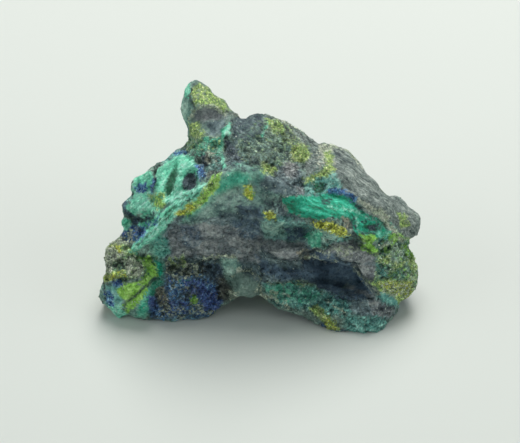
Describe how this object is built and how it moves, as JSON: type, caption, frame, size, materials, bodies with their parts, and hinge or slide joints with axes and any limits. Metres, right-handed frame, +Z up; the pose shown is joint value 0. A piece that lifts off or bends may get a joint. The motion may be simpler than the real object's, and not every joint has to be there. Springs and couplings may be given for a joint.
{
  "type": "mineral hand specimen",
  "caption": "Broken rock specimen with a horn at its back, a sloping front ridge, a slab and a front hollow, standing free on worn feet, crusted green, blue and yellow.",
  "frame": {"origin": "middle of the bounding box in plan, on the level that the stone stands on", "axes": "+Z up; +X along the stone, from the low lobe to the slab's tip; -Y is the ridged front that was pictured, so the horn stands at +Y"},
  "size_m": [0.045, 0.0272, 0.0264],
  "materials": {
    "crusted_stone": "rough grey quartz rock crusted with green malachite, dark blue azurite and yellow-green volborthite"
  },
  "bodies": {
    "root": {"specimen": "crusted_stone"}
  },
  "joints": []
}
